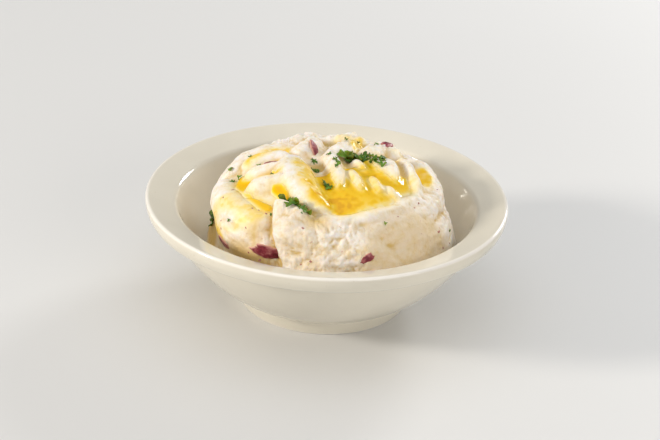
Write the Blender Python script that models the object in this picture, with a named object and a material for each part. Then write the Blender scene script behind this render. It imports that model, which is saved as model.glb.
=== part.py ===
"""A side of mashed potato with skin-on red potatoes, served in its own small glazed bowl.

Lengths are in millimetres until a mesh is made. The bowl is turned about the vertical axis. The mash
is a mound whose skin is laid flat as a map: a point of the map lies at its distance along the mound's
profile from the summit, in its own direction round the axis, with +X to the right and -Y to the front.
Heaps, spoon sweeps and flaps are drawn on that map and raised along the mound's normal. The mound then
sinks into the bowl's well.
"""
import math
from collections import namedtuple

import bmesh
import bpy
import numpy as np

MM = 0.001

# The bowl: a cereal-size bowl, 165 mm across, on a turned foot.
BOWL_RADIUS = 82.5
RIM_HEIGHT = 52.0
EDGE_FACE_FOOT = 44.7        # height at which the rim's upright edge begins
ROLL = 2.0                   # how far the rounded edge reaches in from the outermost line
LIP_RADIUS, LIP_HEIGHT = 67.6, 47.5
BODY_TOP = (73.0, 41.4)      # where the body meets the underside of the rim
FOOT_RADIUS = 38.9
FOOT_LAND = 36.0             # inner edge of the flat ring that the bowl stands on
FOOT_HEIGHT = 7.4
FOOT_TOP_RADIUS = 42.3
FOOT_RECESS = 2.5
WELL_FLOOR = 7.2
BOWL_SEGMENTS = 48
BOWL_GLAZE = (0.62, 0.55, 0.43, 1.0)

# The well's wall, as the four corners of a cubic curve from lip to floor: radius, height.
WELL_CURVE = ((67.0, 45.2), (63.0, 28.0), (50.0, 12.0), (28.0, 8.5))
FLOOR_CURVE = (WELL_CURVE[-1], (18.0, 7.4), (8.0, WELL_FLOOR), (0.0, WELL_FLOOR))
BODY_CURVE = ((FOOT_TOP_RADIUS, FOOT_HEIGHT), (54.0, 14.0), (66.5, 27.0), BODY_TOP)

# The mound's profile, from the summit to where it has sunk past the well's wall, is a cubic curve.
MOUND_HEIGHT = 64.5
MOUND_RADIUS = 59.5
MOUND_FOOT = 17.0
MOUND_CURVE = ((0, MOUND_HEIGHT), (0.7 * MOUND_RADIUS, MOUND_HEIGHT + 2.5),
               (0.875 * MOUND_RADIUS, MOUND_HEIGHT - 4.5), (MOUND_RADIUS, MOUND_FOOT))
MOUND_OFFSET = 0.06          # share by which the foot is fuller on the right than in the middle
MOUND_CELLS = 46
MOUND_RINGS = 3
FIT_GAP = 0.4                # between the mash and what it touches
MASH_COLOUR = (0.83, 0.74, 0.56, 1.0)

# A heap runs round the mound, between two directions in degrees, at a distance from the summit.
Heap = namedtuple("Heap", "start end reach width height blend", defaults=(3.0,))
SHOULDER, FLANK, CREST = 50.0, 61.0, 35.0    # distances at which heaps lie
BACK_HEAPS = [Heap(middle - 22, middle + 22, SHOULDER + 4, 11, 4.0) for middle in (35, 90, 145)]
SHOULDERS = [
    Heap(-72, 0, SHOULDER - 2, 10, 4.0),
    Heap(-70, -5, FLANK + 2, 12.5, 3.0),
    Heap(185, 232, SHOULDER + 2.5, 9.5, 6.6, 2.0),
    Heap(205, 236, FLANK - 2, 8.5, 4.6, 3.5),
]
FRONT_LIP = Heap(-98, -20, SHOULDER - 7, 3, 4.6, 1.5)
CREST_HEAPS = [
    Heap(136, 95, CREST, 7, 4.6, 1.5),
    Heap(89, 68, CREST, 6.5, 5.2, 1.5),
    Heap(62, 36, CREST + 3, 6.5, 4.8, 1.5),
]
HEAPS = BACK_HEAPS + SHOULDERS + [FRONT_LIP] + CREST_HEAPS
# A sweep of the spoon bows to its left between two places, and keeps a share of its size at its tail.
# With a lean over 1 its left-hand side is the wider one.
Sweep = namedtuple("Sweep", "start end bow width height tail lean blend", defaults=(0.8, 1.0, 0.8))
STEPS = [Sweep((k - 37, 3 - 11 * k), (-22, 6 - 12 * k), 0, 5.4, 4.8, 1.0, 1.0, 0.8) for k in range(3)]
BACK_LOBES = [Sweep((x, 12), (x + 6, 26), 0, 5.8, 4.0, 1.0, 1.0, 1.5) for x in (-14, 3, 17)]
MAIN_STROKE = Sweep((-18, 0), (-3, -38), -5, 10.0, 7.2, 0.5, 1.3, 1.0)
TONGUE = Sweep((0, 10), (5, -22), 1, 4.4, 5.8, 0.6, 1.0, 0.5)
SMALL_RIDGES = [
    Sweep((12, 4), (16, -4), 0, 3.2, 3.8, 0.7, 1.0, 1.2),
    Sweep((10, -8), (15, -22), 0, 3.4, 4.4, 0.7),
    Sweep((19, -12), (23, -22), 0, 3.0, 4.2),
    Sweep((26, -18), (30, -24), 0, 3.2, 3.4),
]
FINGERS = [
    Sweep((20, 8), (24, -6), 1, 4.2, 4.0, 0.5, 1.0, 1.2),
    Sweep((26, 8), (30, -10), 0, 4.6, 4.8, 0.6),
    Sweep((32, 12), (40, -20), 1, 3.5, 5.8, 0.7, 1.2, 0.5),
    Sweep((38, 20), (50, -10), 2.5, 7.2, 6.4),
]
LEFT_RIDGE = Sweep((-50, 5), (-12, 30), 2, 9, 4.3)
KNOB = Sweep((-4, -44), (12, -46), -1, 5.4, 5.2, 0.9)
SWEEPS = STEPS + BACK_LOBES + [MAIN_STROKE, TONGUE] + SMALL_RIDGES + FINGERS + [LEFT_RIDGE, KNOB]
# A flap is a raised sheet with a superelliptic outline: middle, turn in degrees, half length, half
# width, exponent, height at its tip and further down, distance over which its edge rounds, blend.
Flap = namedtuple("Flap", "middle turn length width power tip height edge blend")
FLAPS = (
    Flap((10, -70), 0, 32, 24, 3.0, 5.0, 5.0, 3.5, 3.0),
    Flap((-9, -57), -62, 27, 13, 1.35, 8.0, 5.8, 1.6, 0.6),
)
# Hollows: place on the map, radius, depth.
HOLLOWS = (
    (-38, -15, 5.0, 1.8), (-37, -22, 4.0, 1.8),
    (-7, -45, 3.5, 2.4),
    (-6, 2, 4.5, 2.5), (-3, -9, 4.0, 2.5), (1, -20, 3.5, 1.5),
)
LUMP_SIZE = 10.0             # slow unevenness of the whole mound
LUMP_HEIGHT = 0.8
SOFTEN = 1.1
STROKE_POINTS = 30

# Pieces of red potato skin: name, direction round the axis, distance from the summit, length, width,
# turn and tilt in degrees, sink.
SKINS = (
    ("skin_front_left", -117, 60, 17.0, 7.0, -28, 25, -2.0),
    ("skin_front_right", -71, 60, 7.0, 4.0, 45, 15, 0.1),
    ("skin_crest", 112, 18, 9.0, 6.5, 115, 20, 0.0),
    ("skin_back_right", 44, 36, 6.0, 4.5, 10, 10, 0.1),
    ("skin_ridge", 190, 26, 7.0, 2.5, 15, 15, 0.3),
    ("skin_side_left", -145, 66, 9.0, 5.0, -80, 10, 0.2),
)
SKIN_THICKNESS = 1.5
SKIN_CURL = 22.0             # radius of the potato that the skin came off
SKIN_SEGMENTS = 12
SKIN_COLOUR = (0.21, 0.04, 0.035, 1.0)


def cubic(corners, count):
    """Points of the cubic Bezier curve with these four corners."""
    a, b, c, d = (np.array(corner, float) for corner in corners)
    t = np.linspace(0.0, 1.0, count)[:, None]
    return (1 - t) ** 3 * a + 3 * (1 - t) ** 2 * t * b + 3 * (1 - t) * t * t * c + t ** 3 * d


def well_line(gap):
    """The well's wall and floor, moved inwards by a gap, from the axis out: radii and heights."""
    wall = np.vstack([cubic(WELL_CURVE, 60), cubic(FLOOR_CURVE, 12)[1:]])
    along = np.gradient(wall, axis=0)
    along /= np.hypot(along[:, 0], along[:, 1])[:, None]
    line = wall + gap * np.stack([along[:, 1], -along[:, 0]], 1)
    line[-1, 0] = 0.0
    return line[::-1, 0], line[::-1, 1]


MOUND_LINE = cubic(MOUND_CURVE, 400)
MOUND_LENGTHS = np.concatenate([[0.0], np.cumsum(np.hypot(*np.diff(MOUND_LINE, axis=0).T))])
MOUND_REACH = MOUND_LENGTHS[-1]
MOUND_SLOPES = np.stack([np.gradient(MOUND_LINE[:, k], MOUND_LENGTHS) for k in (0, 1)], 1)


def mound(x, y):
    """The plain mound under the strokes: points and outward normals for places on the map."""
    length, angle = np.hypot(x, y), np.arctan2(y, x)
    radius, height = (np.interp(length, MOUND_LENGTHS, MOUND_LINE[:, k]) for k in (0, 1))
    out, up = (np.interp(length, MOUND_LENGTHS, MOUND_SLOPES[:, k]) for k in (0, 1))
    size = np.hypot(out, up)
    radius = radius * (1.0 + MOUND_OFFSET * (length / MOUND_REACH) ** 2 * np.cos(angle))
    points = np.stack([radius * np.cos(angle), radius * np.sin(angle), height], -1)
    normals = np.stack([-up / size * np.cos(angle), -up / size * np.sin(angle), out / size], -1)
    return points, normals


def heap_stroke(heap):
    """A heap's line on the map, half widths, heights and lean: an arc round the summit, low at its ends."""
    share = np.linspace(0.0, 1.0, STROKE_POINTS)
    angle = np.radians(heap.start + (heap.end - heap.start) * share)
    line = heap.reach * np.stack([np.cos(angle), np.sin(angle)], 1)
    size = 0.8 + 0.2 * np.sin(math.pi * share)
    return line, heap.width * size, heap.height * size, 1.0


def sweep_stroke(sweep):
    """A sweep's line on the map, half widths, heights and lean: a parabola, low where it starts."""
    share = np.linspace(0.0, 1.0, STROKE_POINTS)
    start, ahead = np.array(sweep.start, float), np.subtract(sweep.end, sweep.start).astype(float)
    left = np.array([-ahead[1], ahead[0]]) / np.hypot(*ahead)
    line = start + share[:, None] * ahead + (4 * sweep.bow * share * (1 - share))[:, None] * left
    size = 0.7 + 0.3 * np.sin(np.minimum(3 * share, 1.0) * math.pi / 2)
    size = size * (1 - (1 - sweep.tail) * share ** 2)
    return line, sweep.width * size, sweep.height * size, sweep.lean


def stroke(x, y, line, widths, heights, lean):
    """A ridge with a round back: height times (1 - (distance / half width)^2)^0.7 along a line."""
    best = np.full(x.shape, -9.0)
    for i in range(len(line) - 1):
        step = line[i + 1] - line[i]
        size = np.hypot(*step)
        t = np.clip(((x - line[i, 0]) * step[0] + (y - line[i, 1]) * step[1]) / size ** 2, 0, 1)
        dx, dy = x - line[i, 0] - t * step[0], y - line[i, 1] - t * step[1]
        away = np.maximum(np.hypot(dx, dy), 1e-6)
        side = (step[0] * dy - step[1] * dx) / (size * away)
        w = (widths[i] + (widths[i + 1] - widths[i]) * t) * (1 + (lean - 1) * side)
        h = heights[i] + (heights[i + 1] - heights[i]) * t
        q = 1 - (away / w) ** 2
        best = np.maximum(best, np.where(q > 0, h * np.abs(q) ** 0.7, 2 * q))
    return best


def raised_flap(x, y, flap):
    """A flap's height: full inside |u/a|^p + |v/b|^p = 1, rounded over near that outline."""
    c, s = math.cos(math.radians(flap.turn)), math.sin(math.radians(flap.turn))
    dx, dy = x - flap.middle[0], y - flap.middle[1]
    u, v = (c * dx + s * dy) / flap.length, (c * dy - s * dx) / flap.width
    n = flap.power
    q = np.maximum((np.abs(u) ** n + np.abs(v) ** n) ** (1 / n), 0.05)
    slope = q ** (1 - n) * np.hypot(np.abs(u) ** (n - 1) / flap.length, np.abs(v) ** (n - 1) / flap.width)
    inside = (1 - q) / np.maximum(slope, 0.5 / flap.length)
    height = np.interp(-u, (0.0, 0.5), (flap.height, flap.tip))
    return np.where(inside > 0, height * np.clip(inside / flap.edge, 0, 1) ** 0.5, 2 * inside)


def joined(a, b, blend):
    """The higher of two heights, rounded where they cross."""
    t = np.clip(0.5 + 0.5 * (a - b) / blend, 0, 1)
    return b + (a - b) * t + blend * t * (1 - t)


def lattice(i, j, k, seed):
    """A value from -1 to 1 for each whole-number place, from mixed bits."""
    n = (i * 374761393 + j * 668265263 + k * 2147483647 + seed * 1274126177) & 0xFFFFFFFF
    n = ((n ^ (n >> 13)) * 1274126177) & 0xFFFFFFFF
    return ((n ^ (n >> 16)) & 0xFFFFFF) / 0x7FFFFF - 1.0


def unevenness(points, size, seed):
    """Smooth lumps of the given size: lattice values blended between neighbours."""
    place = points / size
    cell = np.floor(place).astype(np.int64)
    f = place - cell
    f = f * f * (3 - 2 * f)
    total = 0.0
    for corner in np.ndindex(2, 2, 2):
        share = np.prod(np.where(np.array(corner) == 1, f, 1 - f), axis=-1)
        total = total + share * lattice(*(cell[..., a] + corner[a] for a in range(3)), seed)
    return total


def relief(x, y):
    """How far the heaps, sweeps, flaps and hollows raise the mound at places on the map."""
    raised = np.full(x.shape, -0.2)
    for heap in HEAPS:
        raised = joined(raised, stroke(x, y, *heap_stroke(heap)), heap.blend)
    for sweep in SWEEPS:
        raised = joined(raised, stroke(x, y, *sweep_stroke(sweep)), sweep.blend)
    for flap in FLAPS:
        raised = joined(raised, raised_flap(x, y, flap), flap.blend)
    for hx, hy, radius, depth in HOLLOWS:
        raised = raised - depth * np.exp(-((x - hx) ** 2 + (y - hy) ** 2) / radius ** 2)
    return raised


def mash_surface(x, y):
    """The mound with its strokes, softened over a small distance and kept inside the bowl's wall."""
    points, normals = mound(x, y)
    rise = sum(relief(x + SOFTEN * a, y + SOFTEN * b) for a, b in ((1, 0), (-1, 0), (0, 1), (0, -1))) / 4
    rise = rise + LUMP_HEIGHT * unevenness(points, LUMP_SIZE, 1)
    points = points + normals * rise[..., None]
    radii, heights = well_line(FIT_GAP)
    radius = np.hypot(points[..., 0], points[..., 1])
    room = np.interp(points[..., 2], heights, radii)
    points[..., :2] *= np.where(radius > room, room / np.maximum(radius, 1e-6), 1.0)[..., None]
    return points


def disc(cells):
    """A square grid pressed onto the unit disc, each square ring onto a circle."""
    side = np.linspace(-1.0, 1.0, cells + 1)
    a, b = np.meshgrid(side, side)
    radius = np.maximum(np.abs(a), np.abs(b))
    wide = np.abs(a) >= np.abs(b)
    long_side = np.where(wide, a, b)
    turn = (math.pi / 4) * np.where(wide, b, a) / np.where(long_side == 0, 1.0, long_side)
    angle = np.where(wide, turn, math.pi / 2 - turn) + np.where(long_side < 0, math.pi, 0.0)
    return radius * np.cos(angle), radius * np.sin(angle)


def material(name, colour, roughness):
    """A Principled BSDF material."""
    made = bpy.data.materials.new(name)
    made.use_nodes = True
    shader = made.node_tree.nodes["Principled BSDF"]
    shader.inputs["Base Color"].default_value = colour
    shader.inputs["Roughness"].default_value = roughness
    shader.inputs["Metallic"].default_value = 0.0
    return made


def add_object(name, points, faces, finish, smooth=40):
    """A mesh object from points in millimetres, its faces turned outwards."""
    mesh = bpy.data.meshes.new(name)
    mesh.from_pydata((np.asarray(points) * MM).tolist(), [], faces)
    work = bmesh.new()
    work.from_mesh(mesh)
    bmesh.ops.recalc_face_normals(work, faces=work.faces)
    work.to_mesh(mesh)
    work.free()
    mesh.shade_smooth()
    mesh.set_sharp_from_angle(angle=math.radians(smooth))
    mesh.materials.append(finish)
    made = bpy.data.objects.new(name, mesh)
    bpy.context.scene.collection.objects.link(made)
    return made


def bowl_profile():
    """The bowl's section, from the underside's centre out, up, over the rim and down into the well."""
    foot = [(0, FOOT_RECESS), (FOOT_LAND - 2.4, FOOT_RECESS), (FOOT_LAND - 0.8, 0.2), (FOOT_LAND, 0),
            (FOOT_RADIUS - 0.7, 0), (FOOT_RADIUS, 0.7), (FOOT_TOP_RADIUS - 0.9, FOOT_HEIGHT - 0.5)]
    edge = [(BODY_TOP[0] + 1.8, 42.6), (BOWL_RADIUS - 3.9, 43.8), (BOWL_RADIUS - 1.7, EDGE_FACE_FOOT),
            (BOWL_RADIUS - 0.6, EDGE_FACE_FOOT + 1.2), (BOWL_RADIUS, EDGE_FACE_FOOT + 3.5)]
    roll = [(BOWL_RADIUS - ROLL + ROLL * math.cos(a), RIM_HEIGHT - ROLL + ROLL * math.sin(a))
            for a in np.radians((15, 50, 90, 108))]
    lip = [(LIP_RADIUS + 1.8, LIP_HEIGHT + 0.8), (LIP_RADIUS + 0.5, LIP_HEIGHT + 0.1),
           (LIP_RADIUS - 0.3, LIP_HEIGHT - 1.0)]
    body = cubic(BODY_CURVE, 7).tolist()
    well = cubic(WELL_CURVE, 9).tolist()
    return foot + body + edge + roll + lip + well + [(14, WELL_FLOOR + 0.2), (0, WELL_FLOOR)]


def make_bowl():
    """The bowl's section turned about the axis; both ends of the section are on the axis."""
    section = np.array(bowl_profile(), float)
    rings = section[1:-1]
    angles = np.arange(BOWL_SEGMENTS) * 2 * math.pi / BOWL_SEGMENTS
    points = np.stack([rings[:, :1] * np.cos(angles), rings[:, :1] * np.sin(angles),
                       np.repeat(rings[:, 1:], BOWL_SEGMENTS, 1)], -1).reshape(-1, 3)
    under, over = len(points), len(points) + 1
    points = np.vstack([points, [0, 0, section[0, 1]], [0, 0, section[-1, 1]]])
    faces = []
    for j in range(BOWL_SEGMENTS):
        k = (j + 1) % BOWL_SEGMENTS
        faces.append((under, k, j))
        for i in range(len(rings) - 1):
            a, b = i * BOWL_SEGMENTS, (i + 1) * BOWL_SEGMENTS
            faces.append((a + j, a + k, b + k, b + j))
        last = (len(rings) - 1) * BOWL_SEGMENTS
        faces.append((over, last + j, last + k))
    return add_object("bowl", points, faces, material("glazed_stoneware", BOWL_GLAZE, 0.15))


def make_mash():
    """The mound's top on a pressed square grid, closed below by rings that follow the well."""
    n = MOUND_CELLS
    x, y = disc(n)
    points = mash_surface(x * MOUND_REACH, y * MOUND_REACH).reshape(-1, 3)
    at = np.arange((n + 1) ** 2).reshape(n + 1, n + 1)
    faces = [(at[i, j], at[i, j + 1], at[i + 1, j + 1], at[i + 1, j]) for i in range(n) for j in range(n)]
    rim = np.concatenate([at[0, :-1], at[:-1, -1], at[-1, :0:-1], at[:0:-1, 0]])
    edge = points[rim]
    radii, heights = well_line(FIT_GAP)
    size = len(rim)
    rings = [rim]
    for step in range(1, MOUND_RINGS):
        flat = edge[:, :2] * (1 - step / MOUND_RINGS)
        height = np.interp(np.hypot(flat[:, 0], flat[:, 1]), radii, heights)
        rings.append(np.arange(len(points), len(points) + size))
        points = np.vstack([points, np.column_stack([flat, height])])
    points = np.vstack([points, [0, 0, heights[0]]])
    for a, b in zip(rings, rings[1:]):
        faces += [(a[i], a[(i + 1) % size], b[(i + 1) % size], b[i]) for i in range(size)]
    faces += [(rings[-1][i], rings[-1][(i + 1) % size], len(points) - 1) for i in range(size)]
    faces = [tuple(int(v) for v in face) for face in faces]
    return add_object("mash", points, faces, material("mashed_potato", MASH_COLOUR, 0.6), 180)


def skin_points(direction, distance, length, width, turn, tilt, sink, grow):
    """A curled chip of skin lying on the mash: two domed faces over an uneven oval."""
    eps = 1.5
    angle = math.radians(direction)
    x = distance * math.cos(angle) + np.array((0, eps, 0, -eps))
    y = distance * math.sin(angle) + np.array((0, 0, eps, 0))
    at, ahead, aside, back = mash_surface(x, y)
    normal = np.cross(ahead - back, aside - at)
    normal /= np.linalg.norm(normal)
    across = np.cross(normal, ahead - back)
    across /= np.linalg.norm(across)
    along = np.cross(across, normal)
    c, s = math.cos(math.radians(turn)), math.sin(math.radians(turn))
    along, across = c * along + s * across, c * across - s * along
    c, s = math.cos(math.radians(tilt)), math.sin(math.radians(tilt))
    across, normal = c * across + s * normal, c * normal - s * across
    angle = np.arange(SKIN_SEGMENTS) * 2 * math.pi / SKIN_SEGMENTS
    wobble = 1 + 0.10 * np.sin(3 * angle + direction) + 0.07 * np.sin(5 * angle + distance)
    points = []
    for side in (1, -1):
        for share in (0.0, 0.6, 1.0):
            u = share * (length / 2 + grow) * wobble * np.cos(angle)
            v = share * (width / 2 + grow) * wobble * np.sin(angle)
            half = (SKIN_THICKNESS / 2 * (1 - 0.5 * share ** 2) + grow)
            w = side * half - (u * u + v * v) / (2 * SKIN_CURL) - sink
            ring = at + u[:, None] * along + v[:, None] * across + w[:, None] * normal
            points.append(ring[:1] if share == 0.0 else ring)
    return np.vstack(points)


def make_skin(name, finish, *shape, grow=0.0):
    """One chip, or with grow its pocket in the mash."""
    points = skin_points(*shape, grow)
    n = SKIN_SEGMENTS
    half = 1 + 2 * n
    faces = []
    for i in range(n):
        k = (i + 1) % n
        for first in (0, half):
            faces.append((first, first + 1 + i, first + 1 + k))
            faces.append((first + 1 + i, first + 1 + n + i, first + 1 + n + k, first + 1 + k))
        faces.append((1 + n + i, half + 1 + n + i, half + 1 + n + k, 1 + n + k))
    return add_object(name, points, faces, finish)


def main():
    """Clear the scene, then make the bowl, the mash and the pieces of skin pressed into it."""
    for old in list(bpy.data.objects):
        bpy.data.objects.remove(old)
    make_bowl()
    mash = make_mash()
    finish = material("red_potato_skin", SKIN_COLOUR, 0.4)
    for name, *shape in SKINS:
        make_skin(name, finish, *shape)
        pocket = make_skin("pocket_" + name, finish, *shape, grow=FIT_GAP)
        pocket.hide_render = True
        pocket.display_type = "WIRE"
        cut = mash.modifiers.new("pocket_" + name, "BOOLEAN")
        cut.operation = "DIFFERENCE"
        cut.solver = "EXACT"
        cut.object = pocket


main()
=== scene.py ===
"""The looks of a side of mashed red potatoes with melted butter and chopped parsley, in its own bowl.

Lengths are in millimetres until a mesh is made. As in the solid model, the mash is a mound whose skin
is laid flat as a map: a point of the map lies at its distance along the mound's profile from the
summit, in its own direction round the axis. Heaps, spoon sweeps, flaps, butter, skin and herbs are all
placed on that map, with +X to the right and -Y to the front. Butter finds its own outline: it stands
where the mash is low.
"""
import math
from collections import namedtuple

import bpy
import numpy as np
from mathutils import Matrix, Vector


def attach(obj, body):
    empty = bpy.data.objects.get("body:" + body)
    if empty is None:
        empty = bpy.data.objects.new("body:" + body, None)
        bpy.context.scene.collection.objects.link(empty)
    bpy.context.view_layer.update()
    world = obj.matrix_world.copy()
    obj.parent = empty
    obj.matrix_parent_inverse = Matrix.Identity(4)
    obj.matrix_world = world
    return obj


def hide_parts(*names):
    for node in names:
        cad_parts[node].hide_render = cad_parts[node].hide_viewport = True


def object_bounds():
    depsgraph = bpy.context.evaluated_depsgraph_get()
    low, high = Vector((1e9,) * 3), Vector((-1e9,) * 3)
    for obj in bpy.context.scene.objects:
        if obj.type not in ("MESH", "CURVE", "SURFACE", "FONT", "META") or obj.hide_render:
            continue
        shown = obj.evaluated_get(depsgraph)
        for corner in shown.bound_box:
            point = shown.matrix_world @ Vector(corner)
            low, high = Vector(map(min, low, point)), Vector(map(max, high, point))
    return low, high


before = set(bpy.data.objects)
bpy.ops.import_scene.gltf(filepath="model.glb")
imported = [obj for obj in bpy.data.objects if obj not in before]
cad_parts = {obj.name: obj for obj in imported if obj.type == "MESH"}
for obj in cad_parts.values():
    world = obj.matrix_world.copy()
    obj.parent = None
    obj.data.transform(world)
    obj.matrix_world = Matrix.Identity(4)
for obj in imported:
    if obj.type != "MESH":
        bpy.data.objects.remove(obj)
CAD_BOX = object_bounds()

MM = 0.001
BODY = "root"
HIGHEST = CAD_BOX[1][2] / MM - 0.2   # the mash's crest eases off below the top of the CAD box
EASE = 0.4

CAMERA_DISTANCE = 0.841      # in metres, as the next line
CAMERA_AIM = Vector((0.0018, 0.0, 0.0026))   # aside of the model's middle
CAMERA_ELEVATION = math.radians(26.3)
CAMERA_ROLL = math.radians(2.6)

# The bowl: a cereal-size bowl, 165 mm across, on a turned foot.
BOWL_RADIUS = 82.5
RIM_HEIGHT = 52.0
EDGE_FACE_FOOT = 44.7
ROLL = 2.0
LIP_RADIUS, LIP_HEIGHT = 67.6, 47.5
BODY_TOP = (73.0, 41.4)
FOOT_RADIUS = 38.9
FOOT_LAND = 36.0
FOOT_HEIGHT = 7.4
FOOT_TOP_RADIUS = 42.3
FOOT_RECESS = 2.5
WELL_FLOOR = 7.2
WELL_CURVE = ((67.0, 45.2), (63.0, 28.0), (50.0, 12.0), (28.0, 8.5))
FLOOR_CURVE = (WELL_CURVE[-1], (18.0, 7.4), (8.0, WELL_FLOOR), (0.0, WELL_FLOOR))
BODY_CURVE = ((FOOT_TOP_RADIUS, FOOT_HEIGHT), (54.0, 14.0), (66.5, 27.0), BODY_TOP)
BOWL_SEGMENTS = 224

# The mound's profile, from the summit to where it has sunk past the well's wall, is a cubic curve.
MOUND_HEIGHT = 64.5
MOUND_RADIUS = 59.5
MOUND_FOOT = 17.0
MOUND_CURVE = ((0, MOUND_HEIGHT), (0.7 * MOUND_RADIUS, MOUND_HEIGHT + 2.5),
               (0.875 * MOUND_RADIUS, MOUND_HEIGHT - 4.5), (MOUND_RADIUS, MOUND_FOOT))
MOUND_OFFSET = 0.06          # share by which the foot is fuller on the right than in the middle
MOUND_CELLS = 304
MOUND_RINGS = 6
FIT_GAP = 0.05               # the mash lies against the well's wall

# A heap runs round the mound, between two directions in degrees, at a distance from the summit.
Heap = namedtuple("Heap", "start end reach width height blend", defaults=(3.0,))
SHOULDER, FLANK, CREST = 50.0, 61.0, 35.0    # distances at which heaps lie
BACK_HEAPS = [Heap(middle - 22, middle + 22, SHOULDER + 4, 11, 4.0) for middle in (35, 90, 145)]
SHOULDERS = [
    Heap(-72, 0, SHOULDER - 2, 10, 4.0),
    Heap(-70, -5, FLANK + 2, 12.5, 3.0),
    Heap(185, 232, SHOULDER + 2.5, 9.5, 6.6, 2.0),
    Heap(205, 236, FLANK - 2, 8.5, 4.6, 3.5),
]
FRONT_LIP = Heap(-98, -20, SHOULDER - 7, 3, 4.6, 1.5)
CREST_HEAPS = [
    Heap(136, 95, CREST, 7, 4.6, 1.5),
    Heap(89, 68, CREST, 6.5, 5.2, 1.5),
    Heap(62, 36, CREST + 3, 6.5, 4.8, 1.5),
]
HEAPS = BACK_HEAPS + SHOULDERS + [FRONT_LIP] + CREST_HEAPS
# A sweep of the spoon bows to its left between two places, and keeps a share of its size at its tail.
# With a lean over 1 its left-hand side is the wider one.
Sweep = namedtuple("Sweep", "start end bow width height tail lean blend", defaults=(0.8, 1.0, 0.8))
STEPS = [Sweep((k - 37, 3 - 11 * k), (-22, 6 - 12 * k), 0, 5.4, 4.8, 1.0, 1.0, 0.8) for k in range(3)]
BACK_LOBES = [Sweep((x, 12), (x + 6, 26), 0, 5.8, 4.0, 1.0, 1.0, 1.5) for x in (-14, 3, 17)]
MAIN_STROKE = Sweep((-18, 0), (-3, -38), -5, 10.0, 7.2, 0.5, 1.3, 1.0)
TONGUE = Sweep((0, 10), (5, -22), 1, 4.4, 5.8, 0.6, 1.0, 0.5)
SMALL_RIDGES = [
    Sweep((12, 4), (16, -4), 0, 3.2, 3.8, 0.7, 1.0, 1.2),
    Sweep((10, -8), (15, -22), 0, 3.4, 4.4, 0.7),
    Sweep((19, -12), (23, -22), 0, 3.0, 4.2),
    Sweep((26, -18), (30, -24), 0, 3.2, 3.4),
]
FINGERS = [
    Sweep((20, 8), (24, -6), 1, 4.2, 4.0, 0.5, 1.0, 1.2),
    Sweep((26, 8), (30, -10), 0, 4.6, 4.8, 0.6),
    Sweep((32, 12), (40, -20), 1, 3.5, 5.8, 0.7, 1.2, 0.5),
    Sweep((38, 20), (50, -10), 2.5, 7.2, 6.4),
]
LEFT_RIDGE = Sweep((-50, 5), (-12, 30), 2, 9, 4.3)
KNOB = Sweep((-4, -44), (12, -46), -1, 5.4, 5.2, 0.9)
SWEEPS = STEPS + BACK_LOBES + [MAIN_STROKE, TONGUE] + SMALL_RIDGES + FINGERS + [LEFT_RIDGE, KNOB]
# A flap is a raised sheet with a superelliptic outline: middle, turn in degrees, half length, half
# width, exponent, height at its tip and further down, distance over which its edge rounds, blend.
Flap = namedtuple("Flap", "middle turn length width power tip height edge blend")
FLAPS = (
    Flap((10, -70), 0, 32, 24, 3.0, 5.0, 5.0, 3.5, 3.0),
    Flap((-9, -57), -62, 27, 13, 1.35, 8.0, 5.8, 1.6, 0.6),
)
# Hollows: place on the map, radius, depth.
HOLLOWS = (
    (-38, -15, 5.0, 1.8), (-37, -22, 4.0, 1.8),
    (-7, -45, 3.5, 2.4),
    (-6, 2, 4.5, 2.5), (-3, -9, 4.0, 2.5), (1, -20, 3.5, 1.5),
)
LUMP_SIZE = 10.0             # slow unevenness of the whole mound
LUMP_HEIGHT = 0.8
SOFTEN = 1.1
STROKE_POINTS = 30
DRAG_WIDTH = 5.0             # a sweep wider than this shows the fine lines that the spoon drew
DRAG_HEIGHT = 0.4

# Pieces of red potato skin: name, direction round the axis, distance from the summit, length, width,
# turn and tilt in degrees, sink.
SKINS = (
    ("skin_front_left", -117, 60, 17.0, 7.0, -28, 25, -2.0),
    ("skin_front_right", -71, 60, 7.0, 4.0, 45, 15, 0.1),
    ("skin_crest", 112, 18, 9.0, 6.5, 115, 20, 0.0),
    ("skin_back_right", 44, 36, 6.0, 4.5, 10, 10, 0.1),
    ("skin_ridge", 190, 26, 7.0, 2.5, 15, 15, 0.3),
    ("skin_side_left", -145, 66, 9.0, 5.0, -80, 10, 0.2),
)
SKIN_THICKNESS = 1.5
SKIN_CURL = 22.0             # radius of the potato that the skin came off
SKIN_RINGS, SKIN_SEGMENTS = 12, 64

# A patch is an ellipse on the map: middle, turn in degrees, half length, half width, amount.
Patch = namedtuple("Patch", "middle turn length width amount")
# Where the mash is torn and crumbly rather than smoothed by the spoon.
CRUMBLY = (
    Patch((4, 40), 0, 50, 22, 1.0),
    Patch((-6, -60), 0, 26, 18, 0.7),
    Patch((-15, -52), -62, 20, 10, 0.7),
    Patch((50, -6), 80, 24, 10, 0.5),
)
# Lumps and grains of the torn mash: size, height where crumbly, height where smooth.
CRUMBS = ((7.5, 1.2, 0.3), (3.6, 0.7, 0.15), (1.9, 0.5, 0.08), (1.1, 0.25, 0.03))
# Where butter was poured; it fills this share of the ground there, the lowest first.
POOLS = (
    Patch((14, -21), 25, 27, 19, 0.55),
    Patch((-38, -16), -80, 12, 4.5, 0.65),
    Patch((-32, -31), -40, 8, 3.5, 0.60),
    Patch((-21, -18), -78, 17, 3, 0.38),
    Patch((22, 5), 70, 9, 6, 0.50),
)
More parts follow.
